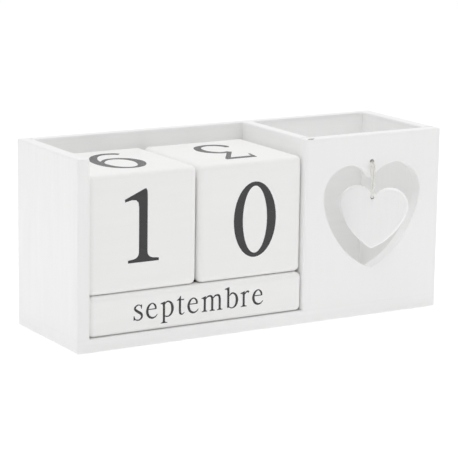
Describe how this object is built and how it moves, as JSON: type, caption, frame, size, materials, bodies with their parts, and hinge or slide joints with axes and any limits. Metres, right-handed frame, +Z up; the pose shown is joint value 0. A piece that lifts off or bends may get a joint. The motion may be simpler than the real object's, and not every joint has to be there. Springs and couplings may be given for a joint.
{
  "type": "flip desk calendar",
  "caption": "Painted wooden perpetual desk calendar: number cubes on month bars in an open tray, with a pen box whose front has a heart cut-out and a hanging heart.",
  "frame": {"origin": "middle of the base board's underside, on the surface the calendar stands on", "axes": "+X along the front to the pen box, +Y from the front to the back, +Z up"},
  "size_m": [0.177, 0.0682, 0.08],
  "materials": {
    "tray_paint": "satin white paint on wood",
    "block_paint": "satin white paint on wood, printed in charcoal",
    "heart_paint": "satin white paint on wood",
    "string": "matt twisted cotton",
    "brad_steel": "bright wire, hidden under the paint"
  },
  "bodies": {
    "tray": {"base_board": "tray_paint", "left_side": "tray_paint", "right_side": "tray_paint", "divider": "tray_paint", "back_panel": "tray_paint", "pen_box_front": "tray_paint", "cord_knot": "string", "base_brads": "brad_steel", "front_brads": "brad_steel", "back_brads": "brad_steel", "left_side_brads": "brad_steel", "right_side_brads": "brad_steel"},
    "tens_cube": {"tens_cube": "block_paint"},
    "units_cube": {"units_cube": "block_paint"},
    "month_bar_rear": {"month_bar_rear": "block_paint"},
    "month_bar_middle": {"month_bar_middle": "block_paint"},
    "month_bar_front": {"month_bar_front": "block_paint"},
    "swinging_cord": {"heart_cord": "string"},
    "heart": {"hanging_heart": "heart_paint", "heart_loop": "string"}
  },
  "joints": [
    {"name": "tens_cube_lift", "type": "slide", "parent": "tray", "child": "tens_cube", "axis": [0, 0, 1], "range_m": [0, 0.065]},
    {"name": "units_cube_lift", "type": "slide", "parent": "tray", "child": "units_cube", "axis": [0, 0, 1], "range_m": [0, 0.065]},
    {"name": "month_bar_rear_draw", "type": "slide", "parent": "tray", "child": "month_bar_rear", "axis": [0, -1, 0], "range_m": [0, 0.055]},
    {"name": "month_bar_middle_draw", "type": "slide", "parent": "month_bar_rear", "child": "month_bar_middle", "axis": [0, -1, 0], "range_m": [0, 0.038]},
    {"name": "month_bar_front_draw", "type": "slide", "parent": "month_bar_middle", "child": "month_bar_front", "axis": [0, -1, 0], "range_m": [0, 0.025]},
    {"name": "heart_swing", "type": "hinge", "parent": "tray", "child": "swinging_cord", "pos_m": [0.0527, -0.02915, 0.06525], "axis": [-1, 0, 0], "range_deg": [0, 60]},
    {"name": "heart_twist", "type": "hinge", "parent": "swinging_cord", "child": "heart", "pos_m": [0.0527, -0.02915, 0.0527], "axis": [0, 0, 1], "range_deg": [-140, 220]}
  ]
}
